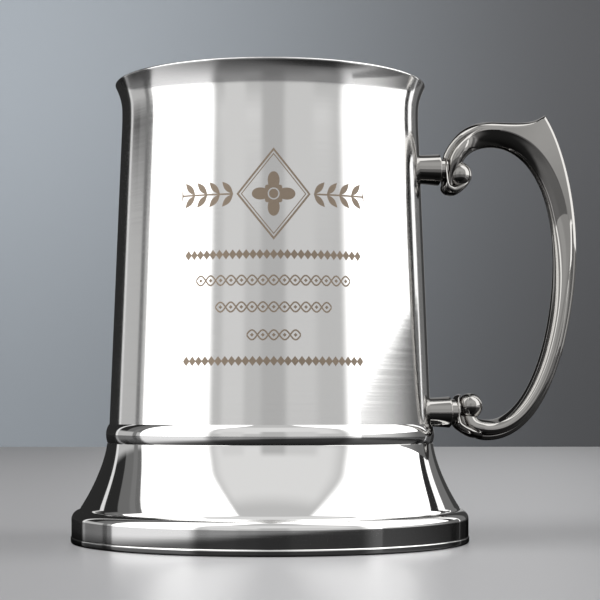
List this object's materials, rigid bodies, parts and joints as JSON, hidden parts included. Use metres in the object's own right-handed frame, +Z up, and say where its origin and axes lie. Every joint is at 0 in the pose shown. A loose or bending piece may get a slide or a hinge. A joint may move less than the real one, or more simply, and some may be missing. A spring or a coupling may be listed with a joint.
{
  "type": "pint tankard",
  "caption": "Polished metal tankard with a tapered drum, flared lip, seam bead, spreading foot and a scroll handle held off the drum on short posts.",
  "frame": {"origin": "centre of the flat underside of the base plate, on the drum's axis", "axes": "+Z up along the drum's axis, +X from the drum towards the handle, +Y across the handle"},
  "size_m": [0.1414, 0.1084, 0.124],
  "materials": {
    "satin_steel": "near-mirror polish with fine turning lines round the drum",
    "polished_steel": "mirror polish",
    "cast_steel": "mirror polish over a softly uneven casting"
  },
  "bodies": {
    "root": {"barrel": "satin_steel", "vessel_floor": "satin_steel", "seam_bead": "polished_steel", "foot_skirt": "polished_steel", "base_plate": "polished_steel", "handle_casting": "cast_steel", "upper_post": "polished_steel", "lower_post": "polished_steel", "upper_stud": "polished_steel", "lower_stud": "polished_steel"}
  },
  "joints": []
}
